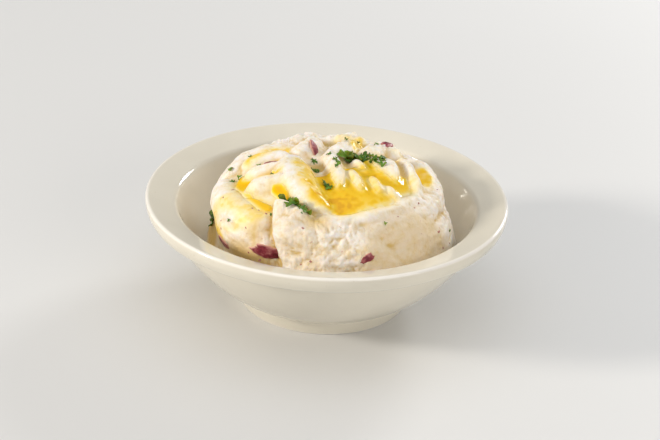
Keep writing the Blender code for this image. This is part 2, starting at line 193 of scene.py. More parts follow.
# Where butter only coats the mash.
FILMS = (
    Patch((-3, -24), -72, 17, 8, 1.0),
    Patch((-11, -9), -75, 8, 5, 0.8),
    Patch((3, -34), -35, 10, 6, 1.5),
    Patch((-42, -30), -30, 17, 9, 0.55),
    Patch((-54, -32), -70, 7, 3, 0.9),
    Patch((-27, -14), 0, 7, 3, 0.9),
    Patch((-28, 10), 42, 14, 4, 0.8),
    Patch((13, 26), 80, 8, 3, 0.9),
    Patch((7, 31), 0, 5, 3, 0.5),
    Patch((42, 1), -75, 7, 3, 1.1),
    Patch((30, 23), -60, 5, 3, 0.35),
)
# A painted highlight: here the butter's coat is left off, so the mash shows pale as if lit.
PAINTED_HIGHLIGHT = (Patch((-45, -32), -42, 6, 3, 0.9),)
# Where the mash is tan: partly damp with butter, partly painted shade on its lower flanks, round the flap and behind
# the left shoulder.
DAMP_AND_SHADE = (
    Patch((40, -46), 45, 30, 17, 0.5),
    Patch((0, -74), 0, 32, 9, 0.6),
    Patch((-10, -56), -62, 20, 9, 0.25),
    Patch((-40, -54), -42, 17, 7, 0.9),
    Patch((-32, -44), 70, 7, 3, 0.9),
    Patch((-4, -45), -10, 5, 3, 1.0),
    Patch((-68, -8), 90, 22, 9, 1.0),
)
SOAK = 1.0                   # depth of butter at which its own colour shows

# Chopped parsley, strewn by the pinch: each pinch scatters its leaves along a line on the map.
Pinch = namedtuple("Pinch", "middle turn length spread count size")
PINCHES = (
    Pinch((12, 9), -35, 4.0, 2.0, 8, 10.5),
    Pinch((21, 4), -60, 7.0, 2.2, 10, 6.0),
    Pinch((-13, -37), -50, 6.5, 0.8, 9, 8.5),
    Pinch((-7, 3), -75, 7.0, 1.0, 6, 4.4),
    Pinch((3, -1), -80, 9.0, 1.5, 6, 3.0),
    Pinch((1, -22), -60, 3.0, 0.6, 5, 4.2),
    Pinch((-40, -4), 10, 10.0, 6.0, 4, 3.4),
    Pinch((14, 22), 0, 8.0, 3.0, 3, 3.0),
    Pinch((-66, -12), 90, 3.0, 1.0, 3, 7.0),
)
LOOSE_LEAVES = 8
LEAF_SEGMENTS, LEAF_RINGS, LEAF_THICKNESS = 36, 5, 0.22
# Small bits of skin in the mash, over the front and sides.
FLECK_COUNT = 30
FLECK_SIZES = (1.2, 3.4)
FLECK_RINGS, FLECK_SEGMENTS = 4, 14


def cubic(corners, count):
    """Points of the cubic Bezier curve with these four corners."""
    a, b, c, d = (np.array(corner, float) for corner in corners)
    t = np.linspace(0.0, 1.0, count)[:, None]
    return (1 - t) ** 3 * a + 3 * (1 - t) ** 2 * t * b + 3 * (1 - t) * t * t * c + t ** 3 * d


def well_line(gap):
    """The well's wall and floor, moved inwards by a gap, from the axis out: radii and heights."""
    wall = np.vstack([cubic(WELL_CURVE, 60), cubic(FLOOR_CURVE, 12)[1:]])
    along = np.gradient(wall, axis=0)
    along /= np.hypot(along[:, 0], along[:, 1])[:, None]
    line = wall + gap * np.stack([along[:, 1], -along[:, 0]], 1)
    line[-1, 0] = 0.0
    return line[::-1, 0], line[::-1, 1]


MOUND_LINE = cubic(MOUND_CURVE, 400)
MOUND_LENGTHS = np.concatenate([[0.0], np.cumsum(np.hypot(*np.diff(MOUND_LINE, axis=0).T))])
MOUND_REACH = MOUND_LENGTHS[-1]
MOUND_SLOPES = np.stack([np.gradient(MOUND_LINE[:, k], MOUND_LENGTHS) for k in (0, 1)], 1)


def mound(x, y):
    """The plain mound under the strokes: points and outward normals for places on the map."""
    length, angle = np.hypot(x, y), np.arctan2(y, x)
    radius, height = (np.interp(length, MOUND_LENGTHS, MOUND_LINE[:, k]) for k in (0, 1))
    out, up = (np.interp(length, MOUND_LENGTHS, MOUND_SLOPES[:, k]) for k in (0, 1))
    size = np.hypot(out, up)
    radius = radius * (1.0 + MOUND_OFFSET * (length / MOUND_REACH) ** 2 * np.cos(angle))
    points = np.stack([radius * np.cos(angle), radius * np.sin(angle), height], -1)
    normals = np.stack([-up / size * np.cos(angle), -up / size * np.sin(angle), out / size], -1)
    return points, normals


def heap_stroke(heap):
    """A heap's line on the map, half widths, heights and lean: an arc round the summit, low at its ends."""
    share = np.linspace(0.0, 1.0, STROKE_POINTS)
    angle = np.radians(heap.start + (heap.end - heap.start) * share)
    line = heap.reach * np.stack([np.cos(angle), np.sin(angle)], 1)
    size = 0.8 + 0.2 * np.sin(math.pi * share)
    return line, heap.width * size, heap.height * size, 1.0


def sweep_stroke(sweep):
    """A sweep's line on the map, half widths, heights and lean: a parabola, low where it starts."""
    share = np.linspace(0.0, 1.0, STROKE_POINTS)
    start, ahead = np.array(sweep.start, float), np.subtract(sweep.end, sweep.start).astype(float)
    left = np.array([-ahead[1], ahead[0]]) / np.hypot(*ahead)
    line = start + share[:, None] * ahead + (4 * sweep.bow * share * (1 - share))[:, None] * left
    size = 0.7 + 0.3 * np.sin(np.minimum(3 * share, 1.0) * math.pi / 2)
    size = size * (1 - (1 - sweep.tail) * share ** 2)
    return line, sweep.width * size, sweep.height * size, sweep.lean


def stroke(x, y, line, widths, heights, lean):
    """A ridge with a round back: height times (1 - (distance / half width)^2)^0.7 along a line."""
    reach = 1.6 * widths.max() * max(lean, 2 - lean)
    best = np.full(x.shape, -9.0)
    near = np.abs(x - np.clip(x, line[:, 0].min(), line[:, 0].max())) < reach
    near &= np.abs(y - np.clip(y, line[:, 1].min(), line[:, 1].max())) < reach
    px, py, top = x[near], y[near], best[near]
    for i in range(len(line) - 1):
        step = line[i + 1] - line[i]
        size = np.hypot(*step)
        t = np.clip(((px - line[i, 0]) * step[0] + (py - line[i, 1]) * step[1]) / size ** 2, 0, 1)
        dx, dy = px - line[i, 0] - t * step[0], py - line[i, 1] - t * step[1]
        away = np.maximum(np.hypot(dx, dy), 1e-6)
        side = (step[0] * dy - step[1] * dx) / (size * away)
        w = (widths[i] + (widths[i + 1] - widths[i]) * t) * (1 + (lean - 1) * side)
        h = heights[i] + (heights[i + 1] - heights[i]) * t
        q = 1 - (away / w) ** 2
        top = np.maximum(top, np.where(q > 0, h * np.abs(q) ** 0.7, 2 * q))
    best[near] = top
    return best


def beside(x, y, line):
    """Signed distance to the side of a line and distance along it, for places on the map."""
    lengths = np.concatenate([[0.0], np.cumsum(np.hypot(*np.diff(line, axis=0).T))])
    side, ahead = np.full(x.shape, 1e9), np.zeros(x.shape)
    for i in range(len(line) - 1):
        step = line[i + 1] - line[i]
        size = np.hypot(*step)
        t = np.clip(((x - line[i, 0]) * step[0] + (y - line[i, 1]) * step[1]) / size ** 2, 0, 1)
        dx, dy = x - line[i, 0] - t * step[0], y - line[i, 1] - t * step[1]
        away = np.hypot(dx, dy) * np.where(step[0] * dy - step[1] * dx > 0, 1, -1)
        closer = np.abs(away) < np.abs(side)
        side, ahead = np.where(closer, away, side), np.where(closer, lengths[i] + t * size, ahead)
    return side, ahead


def drag_lines(x, y):
    """Fine lines that the spoon drew: unevenness 1.7 mm across each wide sweep and 16 mm along it."""
    total = np.zeros(x.shape)
    wide = [sweep_stroke(sweep) for sweep in SWEEPS if sweep.width > DRAG_WIDTH]
    wide += [heap_stroke(heap) for heap in SHOULDERS]
    for k, (line, widths, _, _) in enumerate(wide):
        side, ahead = beside(x, y, line[::3])
        lines = unevenness(np.stack([side, ahead / 9.0, np.full(x.shape, 7.0 * k)], -1), 1.7, 41 + k)
        total = total + DRAG_HEIGHT * lines * np.exp(-(side / widths.max()) ** 4)
    return total


def within(x, y, middle, turn, length, width, power=2.0):
    """How far places lie inside the outline |u/a|^p + |v/b|^p = 1, in mm; negative outside; and u/a."""
    c, s = math.cos(math.radians(turn)), math.sin(math.radians(turn))
    dx, dy = x - middle[0], y - middle[1]
    u, v = (c * dx + s * dy) / length, (c * dy - s * dx) / width
    q = np.maximum((np.abs(u) ** power + np.abs(v) ** power) ** (1 / power), 0.05)
    slope = q ** (1 - power) * np.hypot(np.abs(u) ** (power - 1) / length, np.abs(v) ** (power - 1) / width)
    return (1 - q) / np.maximum(slope, 0.5 / length), u


def raised_flap(x, y, flap):
    """A flap's height: full inside its outline, rounded over near it, highest towards its tip."""
    inside, u = within(x, y, flap.middle, flap.turn, flap.length, flap.width, flap.power)
    height = np.interp(-u, (0.0, 0.5), (flap.height, flap.tip))
    return np.where(inside > 0, height * np.clip(inside / flap.edge, 0, 1) ** 0.5, 2 * inside)


def joined(a, b, blend):
    """The higher of two heights, rounded where they cross."""
    t = np.clip(0.5 + 0.5 * (a - b) / blend, 0, 1)
    return b + (a - b) * t + blend * t * (1 - t)


def lattice(i, j, k, seed):
    """A value from -1 to 1 for each whole-number place, from mixed bits."""
    n = (i * 374761393 + j * 668265263 + k * 2147483647 + seed * 1274126177) & 0xFFFFFFFF
    n = ((n ^ (n >> 13)) * 1274126177) & 0xFFFFFFFF
    return ((n ^ (n >> 16)) & 0xFFFFFF) / 0x7FFFFF - 1.0


def unevenness(points, size, seed):
    """Smooth lumps of the given size: lattice values blended between neighbours."""
    place = points / size
    cell = np.floor(place).astype(np.int64)
    f = place - cell
    f = f * f * (3 - 2 * f)
    total = 0.0
    for corner in np.ndindex(2, 2, 2):
        share = np.prod(np.where(np.array(corner) == 1, f, 1 - f), axis=-1)
        total = total + share * lattice(*(cell[..., a] + corner[a] for a in range(3)), seed)
    return total


def relief(x, y):
    """How far the heaps, sweeps, flaps and hollows raise the mound at places on the map."""
    raised = np.full(x.shape, -0.2)
    for heap in HEAPS:
        raised = joined(raised, stroke(x, y, *heap_stroke(heap)), heap.blend)
    for sweep in SWEEPS:
        raised = joined(raised, stroke(x, y, *sweep_stroke(sweep)), sweep.blend)
    for flap in FLAPS:
        raised = joined(raised, raised_flap(x, y, flap), flap.blend)
    for hx, hy, radius, depth in HOLLOWS:
        raised = raised - depth * np.exp(-((x - hx) ** 2 + (y - hy) ** 2) / radius ** 2)
    return raised


def solid_rise(x, y, points):
    """The rise of the solid model's surface over the plain mound."""
    offsets = ((1, 0), (-1, 0), (0, 1), (0, -1))
    rise = sum(relief(x + SOFTEN * a, y + SOFTEN * b) for a, b in offsets) / len(offsets)
    return rise + LUMP_HEIGHT * unevenness(points, LUMP_SIZE, 1)


def step_up(value, low, high):
    """0 below low, 1 above high, smooth between."""
    t = np.clip((value - low) / (high - low), 0, 1)
    return t * t * (3 - 2 * t)


def patched(x, y, patches, soft=3.0):
    """From 0 to 1: the strongest of some patches, each with a soft edge of this many millimetres."""
    best = np.zeros(x.shape)
    for patch in patches:
        inside, _ = within(x, y, patch.middle, patch.turn, patch.length, patch.width)
        best = np.maximum(best, patch.amount * step_up(inside, -soft, soft))
    return best


def blurred(values, times):
    """A grid's values, each averaged with its four neighbours, a number of times."""
    for _ in range(times):
        wide = np.pad(values, 1, mode="edge")
        values = (4 * values + wide[:-2, 1:-1] + wide[2:, 1:-1] + wide[1:-1, :-2] + wide[1:-1, 2:]) / 8
    return values


def disc(cells):
    """A square grid pressed onto the unit disc, each square ring onto a circle."""
    side = np.linspace(-1.0, 1.0, cells + 1)
    a, b = np.meshgrid(side, side)
    radius = np.maximum(np.abs(a), np.abs(b))
    wide = np.abs(a) >= np.abs(b)
    long_side = np.where(wide, a, b)
    turn = (math.pi / 4) * np.where(wide, b, a) / np.where(long_side == 0, 1.0, long_side)
    angle = np.where(wide, turn, math.pi / 2 - turn) + np.where(long_side < 0, math.pi, 0.0)
    return radius * np.cos(angle), radius * np.sin(angle)


class Mash:
    """The mash's surface on a fine grid, with the butter on it; everything else is placed by it."""

    def __init__(self):
        x, y = disc(MOUND_CELLS)
        self.x, self.y = x * MOUND_REACH, y * MOUND_REACH
        self.base, self.out = mound(self.x, self.y)
        cells_per_mm = MOUND_CELLS / (2 * MOUND_REACH)
        self.passes = lambda spread: max(1, round((spread * cells_per_mm) ** 2 * 4))
        wander = 1.6 * unevenness(self.base, 7.0, 21), 1.6 * unevenness(self.base, 7.0, 22)
        wx, wy = self.x + wander[0], self.y + wander[1]
        self.film = patched(wx, wy, FILMS, 2.5)
        smooth = solid_rise(self.x, self.y, self.base)
        crumbly = patched(self.x, self.y, CRUMBLY, 6.0)
        self.level = self.butter_level(wx, wy, smooth)
        wet = np.maximum(self.film, step_up(self.level - smooth, -0.3, 0.2))
        rise = smooth + drag_lines(self.x, self.y) * (1 - crumbly)
        for k, (size, torn, plain) in enumerate(CRUMBS):
            lump = np.abs(unevenness(self.base, size, 31 + k)) * 2 - 0.7
            rise += lump * (torn * crumbly + plain * (1 - crumbly)) * (1 - 0.6 * wet)
        self.rise = rise
        self.depth = self.level - rise
        streak = 1 + 0.35 * unevenness(self.base, 3.0, 23) + 0.3 * unevenness(self.base, 1.4, 24)
        pool = 1 - np.exp(-np.clip(self.depth, 0, 9) / SOAK)
        stain = 0.75 * blurred(step_up(self.depth, -0.3, 0.3), self.passes(2.8)) * streak
        # The butter's coat, left off where a highlight is painted.
        film = 0.6 * self.film * streak * (1 - patched(self.x, self.y, PAINTED_HIGHLIGHT))
        self.butter = np.maximum(pool, np.maximum(stain, film))
        # Painted shade: creases and hollows, lower than the blurred surface round them, are tinted tan as if in shade.
        crease_shade = np.clip((blurred(rise, self.passes(0.9)) - rise) / 0.45, 0, 1)
        hollow_shade = np.clip((blurred(rise, self.passes(2.8)) - rise) / 1.5, 0, 1)
        damp = patched(self.x, self.y, DAMP_AND_SHADE, 5.0)
        self.damp = np.maximum(np.clip(0.5 * crease_shade + hollow_shade, 0, 1), damp)
        self.points = self.place(rise)
        self.normals = grid_normals(self.points)

    @staticmethod
    def butter_level(x, y, ground):
        """The height at which butter stands: level within each pool, sinking away past its edge."""
        level = np.full(x.shape, -9.0)
        for pool in POOLS:
            inside, _ = within(x, y, pool.middle, pool.turn, pool.length, pool.width)
            top = np.quantile(ground[inside > 0], pool.amount)
            level = np.maximum(level, top - 0.5 * np.clip(1.0 - inside, 0, None) ** 2)
        return level + 0.35 * (np.minimum(ground, level) - level) * (level > -1)

    def place(self, rise):
        """Points on the map raised along the mound's normals and kept inside the bowl's wall."""
        points = self.base + self.out * rise[..., None]
        radii, heights = well_line(FIT_GAP)
        radius = np.hypot(points[..., 0], points[..., 1])
        room = np.interp(points[..., 2], heights, radii)
        points[..., :2] *= np.where(radius > room, room / np.maximum(radius, 1e-6), 1.0)[..., None]
        spare = (HIGHEST - points[..., 2]) / EASE
        points[..., 2] = HIGHEST - EASE * np.logaddexp(0.0, spare)
        return points

    def at(self, x, y):
        """The outer surface, mash or butter, at places on the map: points and normals."""
        x, y = np.atleast_1d(x), np.atleast_1d(y)
        top = self.place(np.maximum(self.rise, self.level)).reshape(-1, 3)
        found = [np.argmin((self.x - a) ** 2 + (self.y - b) ** 2) for a, b in zip(x, y)]
        return top[found], self.normals.reshape(-1, 3)[found]


def grid_normals(points):
    """Unit normals of a grid of points, from its neighbours' differences."""
    normals = np.cross(np.gradient(points, axis=1), np.gradient(points, axis=0))
    normals *= np.sign(np.median(normals[..., 2]))
    return normals / np.maximum(np.linalg.norm(normals, axis=-1, keepdims=True), 1e-9)


def colour(text):
    """An sRGB hex colour as linear red, green, blue and alpha."""
    parts = [int(text[i:i + 2], 16) / 255 for i in (0, 2, 4)]
    return [c / 12.92 if c <= 0.04045 else ((c + 0.055) / 1.055) ** 2.4 for c in parts] + [1.0]


def node(tree, kind, inputs=None, ramp=None, **settings):
    """Add a node with its settings; an input is given a value or another node's output."""
    made = tree.nodes.new(kind)
    for name, value in settings.items():
        setattr(made, name, value)
    for name, value in (inputs or {}).items():
        if isinstance(value, bpy.types.NodeSocket):
            tree.links.new(value, made.inputs[name])
        else:
            made.inputs[name].default_value = value
    if ramp:
        while len(made.color_ramp.elements) < len(ramp):
            made.color_ramp.elements.new(0.5)
        for element, (place, value) in zip(made.color_ramp.elements, ramp):
            element.position, element.color = place, value
    return made


def material(name, **constants):
    """A new material: its node tree, its shader and the object's own coordinates."""
    made = bpy.data.materials.new(name)
    made.use_nodes = True
    tree = made.node_tree
    shader = tree.nodes["Principled BSDF"]
    for key, value in constants.items():
        shader.inputs[key.replace("_", " ").title().replace("Ior", "IOR")].default_value = value
    return made, tree, shader, node(tree, "ShaderNodeTexCoord").outputs["Object"]


def attribute(tree, name):
    """A number stored at each point of the mesh."""
    return node(tree, "ShaderNodeAttribute", attribute_name=name).outputs["Fac"]


def mixed(tree, share, a, b, blend="MIX"):
    """Two colours mixed by a share."""
    made = node(tree, "ShaderNodeMix", data_type="RGBA", blend_type=blend)
    for socket, value in ((made.inputs[0], share), (made.inputs[6], a), (made.inputs[7], b)):
        if isinstance(value, bpy.types.NodeSocket):
            tree.links.new(value, socket)
        else:
            socket.default_value = value
    return made.outputs[2]


def noise(tree, where, size, detail=2.0, roughness=0.5):
    """Noise with lumps of a size in millimetres."""
    inputs = {"Vector": where, "Scale": 1 / (size * MM), "Detail": detail, "Roughness": roughness}
    return node(tree, "ShaderNodeTexNoise", inputs).outputs["Fac"]


def ramp(tree, value, *stops):
    """A colour ramp over a value."""
    return node(tree, "ShaderNodeValToRGB", {"Fac": value}, ramp=stops).outputs["Color"]


def grey(value):
    """A grey of this linear value."""
    return (value, value, value, 1.0)


def bump(tree, shader, height, depth, strength=1.0):
    """Small relief of a depth in millimetres on the shader's normal."""
    inputs = {"Height": height, "Distance": depth * MM, "Strength": strength}
    made = node(tree, "ShaderNodeBump", inputs)
    tree.links.new(made.outputs["Normal"], shader.inputs["Normal"])


def buttered(tree, flesh, amount):
    """The flesh's colour where the amount of butter is 0, through pale yellow, to deep gold at 1."""
    yellow = ramp(tree, amount, (0.0, colour("fff0c0")), (0.35, colour("ffdc66")), (0.6, colour("f9cc20")),
                  (0.85, colour("efba00")), (1.0, colour("e2a800")))
    cover = ramp(tree, amount, (0.0, grey(0.0)), (0.25, grey(0.5)), (0.5, grey(0.9)), (0.7, grey(1.0)))
    return mixed(tree, cover, flesh, yellow)


def stoneware_glaze():
    """Vitrified stoneware under a bone-white gloss glaze, dipped and fired: wet gloss, a paler line
    where the glaze thins over an edge, and a faint waviness where it ran."""
    made, tree, shader, where = material("glazed_stoneware", roughness=0.09, ior=1.52)
    cloud = noise(tree, where, 22.0, 3.0)
    body = ramp(tree, cloud, (0.3, colour("dcd6c6")), (0.7, colour("e1dbcb")))
    pale = mixed(tree, attribute(tree, "thin_glaze"), body, colour("f4efe6"))
    speck = ramp(tree, noise(tree, where, 0.9, 1.0), (0.74, grey(0.0)), (0.78, grey(1.0)))
    tinted = mixed(tree, node(tree, "ShaderNodeMath", {0: speck, 1: 0.25}, operation="MULTIPLY").outputs[0],
                   pale, colour("b9a988"))
    tree.links.new(tinted, shader.inputs["Base Color"])
    bump(tree, shader, noise(tree, where, 14.0, 1.0), 0.25, 0.35)
    return made


def mashed_potato():
    """Boiled potato mashed with cream: a moist, faintly translucent paste, ivory where it is thick,
    tan where it is damp and where shade is painted into its creases, hollows and shaded flanks,
    yellow and glossy where butter coats it."""
    made, tree, shader, where = material("mashed_potato", ior=1.36, subsurface_weight=0.3, subsurface_scale=0.003)
    shader.inputs["Subsurface Radius"].default_value = (1.0, 0.75, 0.5)
    flesh = ramp(tree, noise(tree, where, 4.0, 5.0, 0.7), (0.32, colour("ead6ac")), (0.44, colour("f6ead6")),
                 (0.60, colour("fdf6f0")))
    rosy = ramp(tree, noise(tree, where, 6.5, 3.0, 0.6), (0.5, grey(0.0)), (0.75, grey(0.2)))
    flesh = mixed(tree, rosy, flesh, colour("f4dccb"))
    # Tan for damp mash, and for painted shade in creases, hollows and shaded flanks.
    damp = mixed(tree, attribute(tree, "damp"), flesh, colour("dcbc74"))
    speck = noise(tree, where, 1.7, 2.0)
    pink = ramp(tree, speck, (0.70, grey(0.0)), (0.76, grey(1.0)))
    share = node(tree, "ShaderNodeMath", {0: pink, 1: 0.55}, operation="MULTIPLY").outputs[0]
    spotted = mixed(tree, share, damp, colour("c98f7c"))
    butter = attribute(tree, "butter")
    tree.links.new(buttered(tree, spotted, butter), shader.inputs["Base Color"])
    tree.links.new(ramp(tree, butter, (0.0, grey(0.45)), (0.5, grey(0.2))), shader.inputs["Roughness"])
    grain = node(tree, "ShaderNodeMath", {0: noise(tree, where, 1.1, 4.0, 0.65), 1: ramp(
        tree, butter, (0.0, grey(1.0)), (0.7, grey(0.1)))}, operation="MULTIPLY").outputs[0]
    bump(tree, shader, grain, 0.5, 0.8)
    return made


def melted_butter():
    """Clarified melted butter: a clear yellow oil, pale where thin and deep gold where it stands."""
    made, tree, shader, where = material("melted_butter", roughness=0.06, ior=1.38, subsurface_weight=0.2,
                                         subsurface_scale=0.002)
    shader.inputs["Subsurface Radius"].default_value = (1.0, 0.6, 0.1)
    gold = buttered(tree, colour("f8eedd"), attribute(tree, "butter"))
    tree.links.new(gold, shader.inputs["Base Color"])
    bump(tree, shader, noise(tree, where, 5.0, 1.0), 0.3, 0.3)
    return made


def potato_skin():
    """Skin of boiled red potatoes: thin, satin, burgundy with paler scuffs and a pink torn edge."""
    made, tree, shader, where = material("red_potato_skin", roughness=0.36, ior=1.42)
    mottle = ramp(tree, noise(tree, where, 2.4, 4.0), (0.3, colour("5e1824")), (0.5, colour("8e3444")),
                  (0.7, colour("bc7c78")))
    torn = mixed(tree, attribute(tree, "torn"), mottle, colour("d9a48f"))
    tree.links.new(torn, shader.inputs["Base Color"])
    bump(tree, shader, noise(tree, where, 0.8, 3.0), 0.2, 0.6)
    return made


def parsley_leaf():
    """Chopped curly parsley: matt green, each leaf a shade of its own, mottled yellower."""
    made, tree, shader, where = material("parsley", roughness=0.42, ior=1.4, subsurface_weight=0.15,
                                         subsurface_scale=0.001)
    tint = ramp(tree, attribute(tree, "tint"), (0.0, colour("25520a")), (0.5, colour("4a8014")),
                (1.0, colour("7d9c1e")))
    mottled = mixed(tree, ramp(tree, noise(tree, where, 0.9, 3.0), (0.35, grey(0.0)), (0.7, grey(0.5))), tint,
                    colour("84a43a"))
    tree.links.new(mottled, shader.inputs["Base Color"])
    return made


def piece(name, points, faces, finish, slot, nodes=(), **numbers):
    """A finished piece from points in millimetres, with numbers stored at its points."""
    mesh = bpy.data.meshes.new(name)
    mesh.from_pydata((np.asarray(points) * MM).tolist(), [], [tuple(int(v) for v in f) for f in faces])
    mesh.shade_smooth()
    for key, values in numbers.items():
        stored = mesh.attributes.new(key, "FLOAT", "POINT")
        stored.data.foreach_set("value", np.asarray(values, np.float32).ravel())
    mesh.materials.append(finish)
    made = bpy.data.objects.new(name, mesh)
    bpy.context.scene.collection.objects.link(made)
    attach(made, BODY)
    if nodes:
        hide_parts(*nodes)
    return made


def grid_faces(rows, columns, closed=False):
    """Four-sided faces of a grid stored row by row; closed joins the last column to the first."""
    i, j = np.meshgrid(np.arange(rows - 1), np.arange(columns if closed else columns - 1), indexing="ij")
    k = (j + 1) % columns
    return np.stack([i * columns + j, i * columns + k, (i + 1) * columns + k, (i + 1) * columns + j],
                    -1).reshape(-1, 4)


def rounded(corners):
    """A section line through corners (radius, height, rounding), each corner rounded by an arc."""
    p = np.array([c[:2] for c in corners], float)
    line = [p[:1]]
    for before, at, after, size in zip(p, p[1:], p[2:], [c[2] for c in corners[1:-1]]):
        back, ahead = before - at, after - at
        back, ahead = back / np.hypot(*back), ahead / np.hypot(*ahead)
        t = np.linspace(0, 1, 9)[:, None]
        a, b = at + size * back, at + size * ahead
        line.append((1 - t) ** 2 * a + 2 * t * (1 - t) * at + t * t * b)
    return np.vstack(line + [p[-1:]])


def bowl_section():
    """The bowl's section, from the underside's centre out, up, over the rim and down into the well."""
    foot = rounded(((0, FOOT_RECESS, 0), (FOOT_LAND - 2.0, FOOT_RECESS, 1.6), (FOOT_LAND - 0.5, 0, 0.8),
                    (FOOT_RADIUS, 0, 0.7), (FOOT_TOP_RADIUS - 1.3, FOOT_HEIGHT - 0.2, 1.3),
                    (FOOT_TOP_RADIUS + 1.2, FOOT_HEIGHT + 0.6, 0)))
    body = cubic(BODY_CURVE, 26)[1:]
    edge = rounded(((*BODY_TOP, 0), (BODY_TOP[0] + 1.6, 42.9, 1.2), (BOWL_RADIUS - 1.6, EDGE_FACE_FOOT - 0.7, 1.5),
                    (BOWL_RADIUS - 0.1, EDGE_FACE_FOOT + 3.0, 1.4), (BOWL_RADIUS, RIM_HEIGHT, ROLL),
                    (LIP_RADIUS + 1.0, LIP_HEIGHT + 0.6, 2.0), (WELL_CURVE[0][0] - 0.1, WELL_CURVE[0][1] - 1.2, 0)))
    well = cubic(WELL_CURVE, 40)[3:]
    floor = cubic(FLOOR_CURVE, 10)[1:]
    return np.vstack([foot[:-1], body, edge[1:], well, floor])


def make_bowl(finish):
    """The bowl's section turned about the axis; both ends of the section are on the axis."""
    section = bowl_section()
    rings = section[1:-1]
    angles = np.arange(BOWL_SEGMENTS) * 2 * math.pi / BOWL_SEGMENTS
    points = np.stack([rings[:, :1] * np.cos(angles), rings[:, :1] * np.sin(angles),
                       np.repeat(rings[:, 1:], BOWL_SEGMENTS, 1)], -1).reshape(-1, 3)
    faces = grid_faces(len(rings), BOWL_SEGMENTS, closed=True).tolist()
    under, over = len(points), len(points) + 1
    last = (len(rings) - 1) * BOWL_SEGMENTS
    for j in range(BOWL_SEGMENTS):
        k = (j + 1) % BOWL_SEGMENTS
        faces += [(under, k, j), (over, last + j, last + k)]
    points = np.vstack([points, [0, 0, section[0, 1]], [0, 0, section[-1, 1]]])
    turn = np.arctan2(*np.gradient(rings, axis=0).T[::-1])
    bend = np.abs(np.gradient(np.unwrap(turn))) / np.maximum(np.hypot(*np.gradient(rings, axis=0).T), 0.05)
    thin = np.append(np.repeat(step_up(bend, 0.15, 0.9), BOWL_SEGMENTS), [0, 0])
    return piece("bowl_glazed", points, faces, finish, "glazed_stoneware", ["bowl"], thin_glaze=thin)


def make_mash(mash, finish):
    """The mash's top on its grid, closed below by rings that follow the well."""
    n = MOUND_CELLS + 1
    points = mash.points.reshape(-1, 3)
    faces = grid_faces(n, n).tolist()
    at = np.arange(n * n).reshape(n, n)
    rim = np.concatenate([at[0, :-1], at[:-1, -1], at[-1, :0:-1], at[:0:-1, 0]])
    edge = points[rim]
    radii, heights = well_line(FIT_GAP)
    size = len(rim)
    rings = [rim]
    for step in range(1, MOUND_RINGS):
        flat = edge[:, :2] * (1 - step / MOUND_RINGS)
        height = np.interp(np.hypot(flat[:, 0], flat[:, 1]), radii, heights)
        rings.append(np.arange(len(points), len(points) + size))
        points = np.vstack([points, np.column_stack([flat, height])])
    points = np.vstack([points, [0, 0, heights[0]]])
    for a, b in zip(rings, rings[1:]):
        faces += [(a[i], b[i], b[(i + 1) % size], a[(i + 1) % size]) for i in range(size)]
    faces += [(rings[-1][(i + 1) % size], rings[-1][i], len(points) - 1) for i in range(size)]
    more = len(points) - n * n
    butter = np.append(mash.butter, np.zeros(more))
    # The tan share: damp mash and painted shade.
    damp = np.append(mash.damp, np.zeros(more))
    return piece("potato_mound", points, faces, finish, "mashed_potato", ["mash"], butter=butter, damp=damp)


def make_butter(mash, finish):
    """Butter in the hollows: a skin at the butter's level and one sunk in the mash, closed between."""
    n = MOUND_CELLS + 1
    wet = mash.depth > 0.0
    cell = wet[:-1, :-1] | wet[1:, :-1] | wet[:-1, 1:] | wet[1:, 1:]
    top = mash.place(mash.level).reshape(-1, 3)
    under = mash.place(np.minimum(mash.level, mash.rise) - 0.4).reshape(-1, 3)
    faces = grid_faces(n, n)[cell.ravel()]
    used, where = np.unique(faces, return_inverse=True)
    faces = where.reshape(-1, 4)
    count = len(used)
    sides = np.concatenate([faces[:, [k, (k + 1) % 4]] for k in range(4)])
    key = np.sort(sides, 1)
    _, first, times = np.unique(key, axis=0, return_index=True, return_counts=True)
    border = sides[first[times == 1]]
    walls = np.column_stack([border[:, 1], border[:, 0], border[:, 0] + count, border[:, 1] + count])
    faces = np.vstack([faces, faces[:, ::-1] + count, walls])
    points = np.vstack([top[used], under[used]])
    amount = np.tile(mash.butter.ravel()[used], 2)
    return piece("butter_pools", points, faces, finish, "melted_butter", butter=amount)


def chip_points(at, along, across, normal, length, width, thickness, curl, phase, rings, segments):
    """A curled chip: two domed faces over an uneven oval, rings from the middle out on each."""
    angle = np.arange(segments) * 2 * math.pi / segments
    wobble = 1 + 0.10 * np.sin(3 * angle + phase[0]) + 0.07 * np.sin(5 * angle + phase[1])
    wobble = wobble * (1 + 0.035 * np.sin(11 * angle + phase[0]) + 0.03 * np.sin(17 * angle))
    points, torn = [], []
    for side in (1, -1):
        for share in np.linspace(0, 1, rings):
            u = share * length / 2 * wobble * np.cos(angle)
            v = share * width / 2 * wobble * np.sin(angle)
            half = thickness / 2 * math.sqrt(max(1 - share ** 4, 0.02))
            w = side * half - (u * u + v * v) / (2 * curl)
            points.append(at + u[:, None] * along + v[:, None] * across + w[:, None] * normal)
            torn.append(np.full(segments, step_up(share, 0.86, 1.0) if side > 0 else 1.0))
    return np.vstack(points), np.concatenate(torn)


def chip_faces(rings, segments):
    """Faces of a chip made by chip_points: both sides and the rim between them."""
    top = grid_faces(rings, segments, closed=True)
    below = top[:, ::-1] + rings * segments
    a = (rings - 1) * segments + np.arange(segments)
    b = (rings - 1) * segments + (np.arange(segments) + 1) % segments
    return np.vstack([top, below, np.column_stack([a, b, b + rings * segments, a + rings * segments])])


def solid_surface(x, y):
    """The solid model's surface, on which its pieces of skin were laid."""
    points, normals = mound(x, y)
    return points + normals * solid_rise(x, y, points)[..., None]


